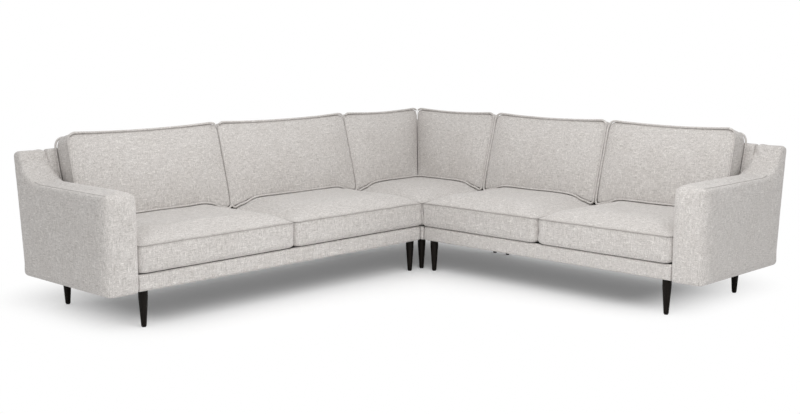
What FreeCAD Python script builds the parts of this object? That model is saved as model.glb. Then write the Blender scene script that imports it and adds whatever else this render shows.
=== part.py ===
import FreeCAD, Part
import math
import os

# Driving dimensions in millimetres, measured from the inner corner of the seat on the floor
DRIVING = (
    ("left_wing", 1938),
    ("right_wing", 1654),
    ("arm_width", 171),
    ("seat_depth", 625),
    ("foot_depth", 546),
    ("seat_bottom", 267),
    ("seat_welt", 400),
    ("seat_crown", 48),
    ("rake_angle", 15.2),
    ("back_cushion_rise", 473),
    ("back_cushion_boxing", 108),
    ("back_end_gap", 14),
    ("front_crown", 30),
    ("rear_crown", 8),
    ("cover_skin", 3),
    ("cushion_clearance", 0.5),
    ("module_gap", 3),
    ("front_face", 12),
    ("frame_bottom", 186),
    ("front_top", 262),
    ("arm_top", 658),
    ("back_top", 806),
    ("back_reach", 828),
    ("rear_foot", 769),
    ("upholstery_skin", 6),
    ("timber", 25),
    ("rail_rise", 62),
    ("back_rail_depth", 706),
    ("leg_front", 56),
    ("leg_rear", 742),
    ("leg_end", 46),
    ("leg_top_radius", 23),
    ("leg_foot_radius", 13),
    ("glide_rise", 3),
    ("bolt_radius", 4),
)

doc = FreeCAD.newDocument("corner_sofa")
sheet = doc.addObject("Spreadsheet::Sheet", "Dims")
for row, (alias, value) in enumerate(DRIVING, start=1):
    sheet.set("A%d" % row, alias)
    sheet.set("B%d" % row, str(value))
    sheet.setAlias("B%d" % row, alias)
doc.recompute()


def size(alias):
    return float(sheet.get(alias))


# Values worked out from the driving dimensions
LEFT = size("left_wing")
RIGHT = size("right_wing")
ARM = size("arm_width")
GAP = size("module_gap")
BOTTOM = size("frame_bottom")
SKIN = size("upholstery_skin")
CLEAR = size("cushion_clearance")
SEAT_DEPTH = size("seat_depth")
RAKE = math.radians(size("rake_angle"))
LEAN = math.tan(RAKE)
CORNER_X = (LEFT + ARM - size("back_reach")) / 2
CORNER_Y = (RIGHT + ARM - size("back_reach")) / 2
CORNER_X_CELLS = "(Dims.left_wing + Dims.arm_width - Dims.back_reach) / 2"
CORNER_Y_CELLS = "(Dims.right_wing + Dims.arm_width - Dims.back_reach) / 2"
UP = FreeCAD.Vector(0, 0, 1)
TOUCH = 0.01

nodes = []


def keep(thing, label):
    # Name a finished sub-part, so that it gets a file of its own
    thing.Label = label
    nodes.append(thing)
    return thing


def feature(label, shape):
    thing = doc.addObject("Part::Feature", label)
    thing.Shape = shape
    thing.Placement = FreeCAD.Placement()
    return keep(thing, label)


class Run:
    # A line of construction through the inner corner: distance along it, depth behind the
    # seat front, and height. The sign says whether it leads away from the corner unit.

    def __init__(self, axis, sign):
        self.axis = axis
        self.sign = sign

    def point(self, along, depth, height=0.0):
        if self.axis == "x":
            return FreeCAD.Vector(CORNER_X + self.sign * along, CORNER_Y + depth, height)
        return FreeCAD.Vector(CORNER_X + depth, CORNER_Y + self.sign * along, height)

    def block(self, name, along, length, depth, width, height, rise):
        # A rail whose place and sizes follow the driving dimensions
        box = doc.addObject("Part::Box", name)
        start = "(%s)" % along if self.sign > 0 else "(-(%s) - (%s))" % (along, length)
        lengthwise, crosswise = ("Length", "Width") if self.axis == "x" else ("Width", "Length")
        box.setExpression(lengthwise, length)
        box.setExpression(crosswise, width)
        box.setExpression("Height", rise)
        places = {"x": "(%s)" % depth, "y": "(%s)" % depth}
        places[self.axis] = start
        box.setExpression("Placement.Base.x", "%s + %s" % (CORNER_X_CELLS, places["x"]))
        box.setExpression("Placement.Base.y", "%s + %s" % (CORNER_Y_CELLS, places["y"]))
        box.setExpression("Placement.Base.z", height)
        return box

    def prism(self, corners, radii, along, length):
        # Push an outline of depths and heights, with rounded corners, along the run
        wire = rounded_wire([self.point(along, d, h) for d, h in corners], radii)
        push = self.point(along + length, 0) - self.point(along, 0)
        return Part.Face(wire).extrude(push)


LEFT_RUN = Run("x", -1)
RIGHT_RUN = Run("y", -1)
CORNER_RUN = Run("x", 1)
CORNER_SIDE_RUN = Run("y", 1)


def rounded_wire(corners, radii):
    # A closed wire of lines and arcs through rounded corners
    count = len(corners)
    arcs = []
    for i, corner in enumerate(corners):
        before = (corners[i - 1] - corner).normalize()
        after = (corners[(i + 1) % count] - corner).normalize()
        half = before.getAngle(after) / 2
        reach = radii[i] / math.tan(half)
        middle = (before + after).normalize()
        sagitta = radii[i] / math.sin(half) - radii[i]
        arcs.append((corner + before * reach, corner + middle * sagitta, corner + after * reach))
    edges = []
    for i, arc in enumerate(arcs):
        edges.append(Part.Arc(*arc).toShape())
        following = arcs[(i + 1) % count][0]
        if arc[2].distanceToPoint(following) > 0.001:
            edges.append(Part.LineSegment(arc[2], following).toShape())
    return Part.Wire(edges)


# Corner radii of boards and plates, and of thin cloths and straps
SMALL_RADIUS = 1
SMALL_RADII = [SMALL_RADIUS] * 4
THIN_RADII = [0.4] * 4


def inset(corners, distance):
    # Move every side of an anticlockwise outline of pairs inwards
    count = len(corners)
    moved = []
    for i in range(count):
        ax, ay = corners[i - 1]
        bx, by = corners[i]
        cx, cy = corners[(i + 1) % count]
        first = math.hypot(bx - ax, by - ay)
        second = math.hypot(cx - bx, cy - by)
        n1 = (-(by - ay) / first, (bx - ax) / first)
        n2 = (-(cy - by) / second, (cx - bx) / second)
        share = distance / (1 + n1[0] * n2[0] + n1[1] * n2[1])
        moved.append((bx + (n1[0] + n2[0]) * share, by + (n1[1] + n2[1]) * share))
    return moved


# Cushion forms

CROWN_STEPS = (0, 25, 70, 130, 190)
CROWN_SPREAD = 260
CORNER_RADIUS = 34
CORNER_GROWTH = 0.25
ROUNDEST = 0.9
EDGE_ROUND = 20


def crown_share(distance):
    # Share of the full crown at a distance inside the welt
    return 1 - (1 - min(distance / CROWN_SPREAD, 1)) ** 3


def crown_solid(corners, base, crown, skin, reach):
    # A domed cap over an outline, of rounded sections that draw in as they rise
    rings = []
    for step in CROWN_STEPS:
        ring = inset(corners, step + skin)
        radius = min(CORNER_RADIUS + CORNER_GROWTH * step, ROUNDEST * (reach - step))
        height = base + crown * crown_share(step)
        rings.append(rounded_wire([FreeCAD.Vector(x, y, height) for x, y in ring], [radius] * 4))
    return Part.makeLoft(rings, True, False)


def cushion_solid(corners, boxing, top_crown, bottom_crown, skin):
    # A boxed cushion lying flat: straight boxing between a domed face and a lower face
    flat = [FreeCAD.Vector(x, y, skin) for x, y in inset(corners, skin)]
    wire = rounded_wire(flat, [CORNER_RADIUS - skin] * 4)
    reach = min(corners[2][1] - corners[1][1], corners[1][0] - corners[0][0]) / 2 - skin
    body = Part.Face(wire).extrude(UP * (boxing - 2 * skin))
    if bottom_crown == 0:
        lower = [e for e in body.Edges if e.BoundBox.ZMax < skin + TOUCH]
        body = body.makeFillet(EDGE_ROUND - skin, lower)
    else:
        body = body.fuse(crown_solid(corners, skin, -bottom_crown, skin, reach))
    return body.fuse(crown_solid(corners, boxing - skin, top_crown, skin, reach)).removeSplitter()


def cushion(label, corners, boxing, top_crown, bottom_crown, placement):
    # A sewn cover and the filling inside it
    skin = size("cover_skin")
    outer = cushion_solid(corners, boxing, top_crown, bottom_crown, 0)
    filling = cushion_solid(corners, boxing, top_crown, bottom_crown, skin)
    cover = outer.cut(filling)
    for part, shape in (("cover", cover), ("filling", filling)):
        thing = doc.addObject("Part::Feature", "%s_%s" % (label, part))
        thing.Shape = shape
        thing.Placement = placement
        keep(thing, "%s_%s" % (label, part))


def rectangle(x0, x1, y0, y1):
    return [(x0, y0), (x1, y0), (x1, y1), (x0, y1)]


def seat_cushion(label, x0, x1, y0, y1):
    # Limits are measured from the inner corner of the seat
    corners = rectangle(x0 + CLEAR, x1 - CLEAR, y0 + CLEAR, y1 - CLEAR)
    base = FreeCAD.Vector(CORNER_X, CORNER_Y, size("seat_bottom"))
    boxing = size("seat_welt") - size("seat_bottom")
    cushion(label, corners, boxing, size("seat_crown"), 0, FreeCAD.Placement(base, FreeCAD.Rotation()))


def seat_cushions():
    seat_cushion("left_outer_seat", -LEFT, -LEFT / 2, 0, SEAT_DEPTH)
    seat_cushion("left_inner_seat", -LEFT / 2, 0, 0, SEAT_DEPTH)
    seat_cushion("corner_seat", 0, SEAT_DEPTH, 0, SEAT_DEPTH)
    seat_cushion("right_inner_seat", 0, SEAT_DEPTH, -RIGHT / 2, 0)
    seat_cushion("right_outer_seat", 0, SEAT_DEPTH, -RIGHT, -RIGHT / 2)


FOOT_SHARE = crown_share(SEAT_DEPTH - size("foot_depth"))
FOOT_HEIGHT = size("seat_welt") + size("seat_crown") * FOOT_SHARE + 2 * CLEAR


def back_cushion(label, run, low_start, low_end, high_start, high_end):
    # A raked cushion standing on the seat; its limits along the run are given at the
    # foot and at the top, because the two at the corner widen upwards
    boxing = size("back_cushion_boxing")
    turn = FreeCAD.Rotation(FreeCAD.Vector(1, 0, 0), 90 - math.degrees(RAKE))
    rise = size("back_cushion_rise")
    if run.axis == "y":
        turn = FreeCAD.Rotation(UP, -90) * turn
    # Across the cushion, positive is along x for the one wing and against y for the other
    side = run.sign if run.axis == "x" else -run.sign
    low = sorted((side * low_start, side * low_end))
    high = sorted((side * high_start, side * high_end))
    corners = [
        (low[0] + CLEAR, 0),
        (low[1] - CLEAR, 0),
        (high[1] - CLEAR, rise),
        (high[0] + CLEAR, rise),
    ]
    depth = size("foot_depth") + boxing * math.cos(RAKE)
    height = FOOT_HEIGHT - boxing * math.sin(RAKE)
    place = FreeCAD.Placement(run.point(0, depth, height), turn)
    cushion(label, corners, boxing, size("front_crown"), size("rear_crown"), place)


def back_cushions():
    foot = size("foot_depth")
    top = foot + size("back_cushion_rise") * math.sin(RAKE)
    left_end = LEFT - size("back_end_gap")
    right_end = RIGHT - size("back_end_gap")
    back_cushion("left_outer_back", LEFT_RUN, LEFT / 2, left_end, LEFT / 2, left_end)
    back_cushion("left_inner_back", LEFT_RUN, 0, LEFT / 2, 0, LEFT / 2)
    back_cushion("corner_left_back", CORNER_RUN, 0, foot, 0, top)
    back_cushion("corner_right_back", CORNER_SIDE_RUN, 0, foot, 0, top)
    back_cushion("right_inner_back", RIGHT_RUN, 0, RIGHT / 2, 0, RIGHT / 2)
    back_cushion("right_outer_back", RIGHT_RUN, RIGHT / 2, right_end, RIGHT / 2, right_end)


# Seat frames


def group(label, blocks):
    # Like pieces of one kind, each a solid of its own
    thing = doc.addObject("Part::Compound", label)
    thing.Links = blocks
    return keep(thing, label)


TIMBER = "Dims.timber"
RAIL_FOOT = "Dims.frame_bottom + Dims.upholstery_skin"
RAIL_RISE = "Dims.rail_rise"
FRONT_RAIL = "Dims.front_face + Dims.upholstery_skin"
BACK_RAIL = "Dims.back_rail_depth"
WING_RAIL = "Dims.module_gap + Dims.upholstery_skin"
FRONT_WRAP_DEPTH = "Dims.timber + 2 * Dims.upholstery_skin"


def wing_frame(side, run, wing):
    # Rails of a straight unit, from its joint with the corner unit to the arm
    length = "Dims.%s - 2 * (%s)" % (wing, WING_RAIL)
    front = run.block(side + "_front_timber", WING_RAIL, length, FRONT_RAIL, TIMBER, RAIL_FOOT, RAIL_RISE)
    keep(front, side + "_front_rail")
    back = run.block(side + "_back_timber", WING_RAIL, length, BACK_RAIL, TIMBER, RAIL_FOOT, RAIL_RISE)
    keep(back, side + "_back_rail")
    start = "Dims.front_face + %s" % FRONT_WRAP_DEPTH
    width = "Dims.back_rail_depth - Dims.upholstery_skin - (%s)" % start
    near = run.block(side + "_near_rail", "Dims.module_gap", TIMBER, start, width, RAIL_FOOT, RAIL_RISE)
    end = "Dims.%s - Dims.module_gap - Dims.timber" % wing
    far = run.block(side + "_far_rail", end, TIMBER, start, width, RAIL_FOOT, RAIL_RISE)
    group(side + "_side_rails", [near, far])


def corner_frame():
    # The square unit has two rails along its seat fronts and two along its backs
    start = "2 * Dims.module_gap + %s" % FRONT_WRAP_DEPTH
    front_length = "%s - Dims.upholstery_skin - (%s)" % (BACK_RAIL, WING_RAIL)
    side_length = "%s - Dims.upholstery_skin - (%s)" % (BACK_RAIL, start)
    front = CORNER_RUN.block(
        "corner_front_timber", WING_RAIL, front_length, WING_RAIL, TIMBER, RAIL_FOOT, RAIL_RISE
    )
    side = CORNER_SIDE_RUN.block(
        "corner_side_timber", start, side_length, WING_RAIL, TIMBER, RAIL_FOOT, RAIL_RISE
    )
    group("corner_front_rails", [front, side])
    back_length = "%s + %s - (%s)" % (BACK_RAIL, TIMBER, start)
    left = CORNER_RUN.block(
        "corner_left_timber", start, back_length, BACK_RAIL, TIMBER, RAIL_FOOT, RAIL_RISE
    )
    right_length = "%s - (%s)" % (BACK_RAIL, start)
    right = CORNER_SIDE_RUN.block(
        "corner_right_timber", start, right_length, BACK_RAIL, TIMBER, RAIL_FOOT, RAIL_RISE
    )
    group("corner_back_rails", [left, right])


# Each leg stands at a distance along its run and a depth
LEG_END = size("leg_end")
LEG_FRONT = size("leg_front")
LEG_REAR = size("leg_rear")
LEG_PLACES = [
    (run, along, depth)
    for run, wing in ((LEFT_RUN, LEFT), (RIGHT_RUN, RIGHT))
    for along in (LEG_END, wing - LEG_END)
    for depth in (LEG_FRONT, LEG_REAR)
]
LEG_PLACES += [
    (CORNER_RUN, LEG_FRONT, LEG_FRONT),
    (CORNER_RUN, LEG_FRONT, LEG_REAR),
    (CORNER_SIDE_RUN, LEG_FRONT, LEG_REAR),
    (CORNER_RUN, LEG_REAR, LEG_REAR),
]
BLOCK_LENGTH = 54
BLOCK_WIDTH = 26
BLOCK_RISE = 40
BOLT_ROOM = 12
BLOCK_PLAY = 0.5
BLOCK_FRONT = size("front_face") + size("timber") + 2 * SKIN + BLOCK_PLAY
BLOCK_REAR = size("back_rail_depth") + size("timber") + BLOCK_PLAY
BOLT_PLAY = 0.05


def corner_blocks():
    # Hardwood blocks in the frame corners, drilled for the leg bolts
    hole = Part.makeCylinder(size("bolt_radius") + BOLT_PLAY, BLOCK_RISE)
    blocks = []
    for run, along, depth in LEG_PLACES:
        front = BLOCK_FRONT if depth == LEG_FRONT else BLOCK_REAR
        near = along in (LEG_END, LEG_FRONT)
        start = along - BOLT_ROOM if near else along + BOLT_ROOM - BLOCK_LENGTH
        outline = rectangle(front, front + BLOCK_WIDTH, BOTTOM, BOTTOM + BLOCK_RISE)
        block = run.prism(outline, SMALL_RADII, start, BLOCK_LENGTH)
        bore = hole.copy()
        bore.translate(run.point(along, depth, BOTTOM))
        blocks.append(block.cut(bore))
    feature("corner_blocks", Part.makeCompound(blocks))


# Straps under the deck

STRAP_WIDTH = 60
STRAP_THICK = 2
STRAP_PITCH = 130
STRAP_FLOOR = BOTTOM + SKIN + size("rail_rise")


def straps(run, start, length, front, depth):
    # Elastic webbing, front to back, with a second layer lying across it
    strips = []
    count = int(length // STRAP_PITCH)
    for i in range(count):
        along = start + length * (i + 0.5) / count - STRAP_WIDTH / 2
        outline = rectangle(front, front + depth, STRAP_FLOOR, STRAP_FLOOR + STRAP_THICK)
        strips.append(run.prism(outline, THIN_RADII, along, STRAP_WIDTH))
    cross = int(depth // STRAP_PITCH)
    level = STRAP_FLOOR + STRAP_THICK
    for i in range(cross):
        place = front + depth * (i + 0.5) / cross - STRAP_WIDTH / 2
        outline = rectangle(place, place + STRAP_WIDTH, level, level + STRAP_THICK)
        strips.append(run.prism(outline, THIN_RADII, start, length))
    return strips


def seat_webbing():
    front = size("front_face") + size("timber") + 2 * SKIN
    depth = size("back_rail_depth") - SKIN - front
    strips = straps(LEFT_RUN, GAP, LEFT - 2 * GAP, front, depth)
    strips += straps(RIGHT_RUN, GAP, RIGHT - 2 * GAP, front, depth)
    strips += straps(CORNER_RUN, front, depth, front, depth)
    feature("seat_webbing", Part.makeCompound(strips))


# Decks and dust covers

DECK_THICK = 4
DECK_FRONT = 12
DECK_REAR_PLAY = 3
DUST_THICK = 1.2
DUST_INSET = 5
LEG_ROOM = 1


def decks():
    # The padded cloth that the seat cushions lie on
    back = size("back_rail_depth") - SKIN - DECK_REAR_PLAY
    top = size("front_top")
    front = size("front_face") + DECK_FRONT
    outline = rectangle(front, back, top, top + DECK_THICK)
    feature("left_deck", LEFT_RUN.prism(outline, SMALL_RADII, GAP, LEFT - 2 * GAP))
    feature("right_deck", RIGHT_RUN.prism(outline, SMALL_RADII, GAP, RIGHT - 2 * GAP))
    front = GAP + DECK_FRONT
    outline = rectangle(front, back, top, top + DECK_THICK)
    feature("corner_deck", CORNER_RUN.prism(outline, SMALL_RADII, front, back - front))


def dust_cover(run, start, length, front):
    # Thin cloth under a frame, cut out round the legs
    outline = rectangle(front, size("rear_foot") - DUST_INSET, BOTTOM - DUST_THICK, BOTTOM)
    cloth = run.prism(outline, THIN_RADII, start, length)
    for leg_run, along, depth in LEG_PLACES:
        room = Part.makeCylinder(size("leg_top_radius") + LEG_ROOM, 2 * DUST_THICK)
        room.translate(leg_run.point(along, depth, BOTTOM - 1.5 * DUST_THICK))
        cloth = cloth.cut(room)
    return max(cloth.Solids, key=lambda solid: solid.Volume)


def dust_covers():
    front = size("front_face") + DUST_INSET
    start = GAP + DUST_INSET
    cloths = [
        dust_cover(LEFT_RUN, start, LEFT - 2 * start, front),
        dust_cover(RIGHT_RUN, start, RIGHT - 2 * start, front),
        dust_cover(CORNER_RUN, start, size("rear_foot") - DUST_INSET - start, start),
    ]
    feature("dust_covers", Part.makeCompound(cloths))


# Upholstered rails and backs


def wrap_outline(front):
    back = front + size("timber") + 2 * SKIN
    return rectangle(front, back, BOTTOM, size("front_top"))


WRAP_FOOT_RADIUS = 8
WRAP_REAR_RADIUS = 3
WRAP_TOP_RADIUS = 12
WRAP_RADII = [WRAP_FOOT_RADIUS, WRAP_REAR_RADIUS, WRAP_REAR_RADIUS, WRAP_TOP_RADIUS]
CORNER_EDGE_RADIUS = 14


def front_upholstery():
    # Padded cloth round the rail under each seat front; the rail fills its middle
    for side, run, wing in (("left", LEFT_RUN, LEFT), ("right", RIGHT_RUN, RIGHT)):
        wrap = run.prism(wrap_outline(size("front_face")), WRAP_RADII, GAP, wing - GAP - CLEAR)
        rail = doc.getObject(side + "_front_timber").Shape
        feature(side + "_front_upholstery", wrap.cut(rail))
    reach = size("back_rail_depth") - SKIN
    front = CORNER_RUN.prism(wrap_outline(GAP), WRAP_RADII, GAP, reach - GAP)
    middle = CORNER_RUN.point(GAP, GAP, (BOTTOM + size("front_top")) / 2)
    edge = min(front.Edges, key=lambda e: e.CenterOfMass.distanceToPoint(middle))
    start = 2 * GAP + size("timber") + 2 * SKIN
    side = CORNER_SIDE_RUN.prism(wrap_outline(GAP), WRAP_RADII, start - SKIN / 2, reach - start)
    wraps = [
        front.makeFillet(CORNER_EDGE_RADIUS, [edge]).cut(doc.getObject("corner_front_timber").Shape),
        side.cut(doc.getObject("corner_side_timber").Shape),
    ]
    feature("corner_front_upholstery", Part.makeCompound(wraps))


BACK_TOP = size("back_top")
DECK_TOP = size("front_top") + DECK_THICK


def face_depth(height):
    # Depth of the back's padded face at a height, parallel to the cushions that lean on it
    thickness = size("back_cushion_boxing") + size("rear_crown") + 2 * CLEAR
    return size("foot_depth") + thickness / math.cos(RAKE) + (height - FOOT_HEIGHT) * LEAN


REAR_BEVEL = 2
REAR_CORNER = size("back_reach") + REAR_BEVEL


def rear_depth(height):
    # Depth of the plain rear of the back at a height
    share = (height - BOTTOM) / (BACK_TOP - BOTTOM)
    return size("rear_foot") + (REAR_CORNER - size("rear_foot")) * share


# Roundings of the back, from its lower front round by the rear and the top
REAR_FOOT_RADIUS = 20
REAR_TOP_RADIUS = 24
FACE_TOP_RADIUS = 12
BACK_RADII = [2, REAR_FOOT_RADIUS, REAR_TOP_RADIUS, FACE_TOP_RADIUS, 4, 2]


def back_outline(skin):
    # Anticlockwise from the lower front; the skin is the padding that the frame sits inside
    front = size("back_rail_depth") - SKIN
    corners = [
        (front, BOTTOM),
        (size("rear_foot"), BOTTOM),
        (REAR_CORNER, BACK_TOP),
        (face_depth(BACK_TOP), BACK_TOP),
        (face_depth(DECK_TOP), DECK_TOP),
        (front, DECK_TOP),
    ]
    if skin == 0:
        return corners
    inner = inset(corners, skin)
    return [(d, min(h, BOTTOM - 1) if h < BOTTOM + 2 * skin else h) for d, h in inner]


def back_shell(run, start, length):
    # The padded back with the room for its frame cut out of it
    outer = run.prism(back_outline(0), BACK_RADII, start, length)
    radii = [max(r - SKIN, SMALL_RADIUS) for r in BACK_RADII]
    inner = run.prism(back_outline(SKIN), radii, start + SKIN, length - 2 * SKIN)
    return outer.cut(inner)


MITRE_REACH = 1000


def mitre(run):
    # Everything on the far side of the corner unit's diagonal
    far = MITRE_REACH
    corners = [(-CLEAR, 0), (far, 0), (far, far + CLEAR)]
    wire = Part.makePolygon([run.point(along, depth) for along, depth in corners + corners[:1]])
    return Part.Face(wire).extrude(UP * far)


def back_upholstery():
    for side, run, wing in (("left", LEFT_RUN, LEFT), ("right", RIGHT_RUN, RIGHT)):
        feature(side + "_back_upholstery", back_shell(run, GAP, wing - GAP - CLEAR))
    # The corner unit's two backs meet on the diagonal, and their frame runs through inside
    reach = size("back_reach")
    shells = [back_shell(run, GAP, reach).cut(mitre(run)) for run in (CORNER_RUN, CORNER_SIDE_RUN)]
    feature("corner_back_upholstery", Part.makeCompound(shells))


POST_THICK = 30
POST_WIDTH = 60
POST_END = 90
TOP_RAIL_DROP = 36
TOP_RAIL_RISE = 24
TOP_RAIL_WIDTH = 28
TOP_RAIL_SETBACK = 10
POST_PLAY = 2


def posts(run, places):
    # Raked uprights behind the back rail
    low = BOTTOM + SKIN
    high = BACK_TOP - TOP_RAIL_DROP
    rear = SKIN + POST_PLAY
    corners = [
        (rear_depth(low) - rear - POST_THICK, low),
        (rear_depth(low) - rear, low),
        (rear_depth(high) - rear, high),
        (rear_depth(high) - rear - POST_THICK, high),
    ]
    return [run.prism(corners, SMALL_RADII, place - POST_WIDTH / 2, POST_WIDTH) for place in places]


def back_frames():
    for side, run, wing in (("left", LEFT_RUN, LEFT), ("right", RIGHT_RUN, RIGHT)):
        uprights = posts(run, (POST_END + LEG_END, wing / 2, wing - POST_END - LEG_END))
        feature(side + "_back_posts", Part.makeCompound(uprights))
    places = (POST_END + LEG_FRONT, POST_END + LEG_REAR / 2)
    uprights = posts(CORNER_RUN, places) + posts(CORNER_SIDE_RUN, places)
    feature("corner_back_posts", Part.makeCompound(uprights))
    top_rails()


def top_rails():
    depth = "Dims.back_reach - %d" % (SKIN + TOP_RAIL_WIDTH + TOP_RAIL_SETBACK)
    width = "%d" % TOP_RAIL_WIDTH
    height = "Dims.back_top - %d" % TOP_RAIL_DROP
    rise = "%d" % TOP_RAIL_RISE
    for side, run in (("left", LEFT_RUN), ("right", RIGHT_RUN)):
        length = "Dims.%s_wing - 2 * (%s)" % (side, WING_RAIL)
        rail = run.block(side + "_top_timber", WING_RAIL, length, depth, width, height, rise)
        keep(rail, side + "_top_rail")
    length = "%s - 2 * (%s)" % (depth, WING_RAIL)
    rails = [
        CORNER_RUN.block("corner_left_top", WING_RAIL, length, depth, width, height, rise),
        CORNER_SIDE_RUN.block("corner_right_top", WING_RAIL, length, depth, width, height, rise),
    ]
    group("corner_top_rails", rails)


# Arms

ARM_SWEEP = 174
ARM_FRONT_ROUND = 30
ARM_EDGE_ROUND = 22
ARM_CORNER_ROUND = 44
ARM_PANEL = 16
ARM_PADDING = 20
ARM_REAR_DROP = 60


def arm_outline(skin):
    # Low and level in front, then swept up to the height of the back
    corners = [
        (size("front_face"), BOTTOM),
        (size("rear_foot"), BOTTOM),
        (REAR_CORNER, BACK_TOP),
        (face_depth(BACK_TOP), BACK_TOP),
        (face_depth(size("arm_top")), size("arm_top")),
        (size("front_face"), size("arm_top")),
    ]
    return inset(corners, skin)


ARM_RADII = [
    WRAP_FOOT_RADIUS,
    REAR_FOOT_RADIUS,
    REAR_TOP_RADIUS,
    FACE_TOP_RADIUS,
    ARM_SWEEP,
    ARM_FRONT_ROUND,
]


def arm_radii(skin):
    return [max(radius - skin, SMALL_RADIUS) for radius in ARM_RADII]


def top_edges(form, run, sides):
    # The edges of the two side faces that run over the front, the top and the sweep
    chosen = []
    for edge in form.Edges:
        box = edge.BoundBox
        middle = edge.CenterOfMass
        if run.axis == "x":
            spread, along, depth = box.XLength, CORNER_X - middle.x, middle.y - CORNER_Y
        else:
            spread, along, depth = box.YLength, CORNER_Y - middle.y, middle.x - CORNER_X
        on_side = spread < TOUCH and min(abs(along - side) for side in sides) < TOUCH
        rear = depth > size("rear_foot") and middle.z < BACK_TOP - ARM_REAR_DROP
        if on_side and middle.z > BOTTOM + ARM_REAR_DROP and not rear:
            chosen.append(edge)
    return chosen


def arm_form(run, wing, skin):
    # The arm as one rounded block, drawn in by the skin on every side
    inner = wing + skin
    outer = wing + ARM - skin
    form = run.prism(arm_outline(skin), arm_radii(skin), inner, outer - inner)
    form = form.makeFillet(ARM_EDGE_ROUND - skin, top_edges(form, run, (inner, outer)))
    # Seen from above, the outer front corner is round
    front = size("front_face") + skin
    far = size("back_reach") + ARM
    corners = [(inner - 1, far), (inner - 1, front), (outer, front), (outer, far)]
    radii = [SMALL_RADIUS, SMALL_RADIUS, ARM_CORNER_ROUND - skin, SMALL_RADIUS]
    plan = rounded_wire([run.point(along, depth) for along, depth in corners], radii)
    return form.common(Part.Face(plan).extrude(UP * BACK_TOP))


def arms():
    for side, run, wing in (("left", LEFT_RUN, LEFT), ("right", RIGHT_RUN, RIGHT)):
        lining = arm_form(run, wing, SKIN)
        inner = SKIN + ARM_PADDING
        core = run.prism(arm_outline(inner), arm_radii(inner), wing + inner, ARM - 2 * inner)
        panels = [
            run.prism(arm_outline(inner), arm_radii(inner), wing + place, ARM_PANEL)
            for place in (inner, ARM - inner - ARM_PANEL)
        ]
        feature(side + "_arm_upholstery", arm_form(run, wing, 0).cut(lining))
        feature(side + "_arm_padding", lining.cut(core))
        feature(side + "_arm_panels", Part.makeCompound(panels))


# Legs

LEG_STRAIGHT = 40
LEG_FOOT_ROUND = 3
BOLT_IN_LEG = 34


def leg_body():
    # A round black leg, straight at the top and then tapering to the foot
    body = doc.addObject("PartDesign::Body", "leg_turning")
    plane = [o for o in body.Origin.OriginFeatures if o.Role == "XZ_Plane"][0]
    sketch = body.newObject("Sketcher::SketchObject", "leg_profile")
    sketch.AttachmentSupport = [(plane, "")]
    sketch.MapMode = "FlatFace"
    top = size("leg_top_radius")
    foot = size("leg_foot_radius")
    low = size("glide_rise")
    bore = size("bolt_radius") + BOLT_PLAY
    outline = [
        (0, low),
        (foot - LEG_FOOT_ROUND, low),
        (foot, low + LEG_FOOT_ROUND),
        (top, BOTTOM - LEG_STRAIGHT),
        (top, BOTTOM),
        (bore, BOTTOM),
        (bore, BOTTOM - BOLT_IN_LEG),
        (0, BOTTOM - BOLT_IN_LEG),
    ]
    points = [FreeCAD.Vector(x, y, 0) for x, y in outline]
    for a, b in zip(points, points[1:] + points[:1]):
        sketch.addGeometry(Part.LineSegment(a, b), False)
    turning = body.newObject("PartDesign::Revolution", "leg_turn")
    turning.Profile = sketch
    turning.ReferenceAxis = (sketch, ["V_Axis"])
    turning.Angle = 360
    doc.recompute()
    return body


def legs():
    body = leg_body()
    bolt_radius = size("bolt_radius")
    rise = BOLT_IN_LEG + BLOCK_RISE
    bolt = Part.makeCylinder(bolt_radius, rise, FreeCAD.Vector(0, 0, BOTTOM - BOLT_IN_LEG))
    glide = Part.makeCylinder(size("leg_foot_radius") - LEG_FOOT_ROUND, size("glide_rise"))
    for label, shape in (("legs", body.Shape), ("leg_bolts", bolt), ("leg_glides", glide)):
        copies = []
        for run, along, depth in LEG_PLACES:
            copy = shape.copy()
            copy.translate(run.point(along, depth))
            copies.append(copy)
        feature(label, Part.makeCompound(copies))


# Plates that hold the units together

PLATE_LENGTH = 110
PLATE_WIDTH = 40
PLATE_THICK = 3
PLATE_DEPTHS = (180, 600)


def module_plates():
    plates = []
    top = BOTTOM - DUST_THICK
    for run in (LEFT_RUN, RIGHT_RUN):
        for depth in PLATE_DEPTHS:
            outline = rectangle(depth, depth + PLATE_WIDTH, top - PLATE_THICK, top)
            plates.append(run.prism(outline, SMALL_RADII, -PLATE_LENGTH / 2, PLATE_LENGTH))
    feature("module_plates", Part.makeCompound(plates))


def check(things):
    # Stop before anything is written if a piece has failed
    for thing in doc.Objects:
        if "Invalid" in thing.State or "Error" in thing.State:
            raise RuntimeError("%s failed" % thing.Label)
    for thing in things:
        if thing.Shape.isNull() or not thing.Shape.isValid():
            raise RuntimeError("%s has no valid shape" % thing.Label)


def main():
    wing_frame("left", LEFT_RUN, "left_wing")
    corner_frame()
    wing_frame("right", RIGHT_RUN, "right_wing")
    doc.recompute()
    corner_blocks()
    seat_webbing()
    decks()
    dust_covers()
    front_upholstery()
    back_upholstery()
    back_frames()
    arms()
    legs()
    module_plates()
    seat_cushions()
    back_cushions()
    doc.recompute()
    check(nodes)
    os.makedirs("parts", exist_ok=True)
    for node in nodes:
        node.Shape.exportStep("parts/%s.step" % node.Label)
        print(node.Label, len(node.Shape.Solids), "%.4g" % (node.Shape.Volume / 1e6))


main()
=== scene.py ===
import bpy
import bmesh
import math
from mathutils import Matrix, Vector, noise
from mathutils.bvhtree import BVHTree
from mathutils.kdtree import KDTree


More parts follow.
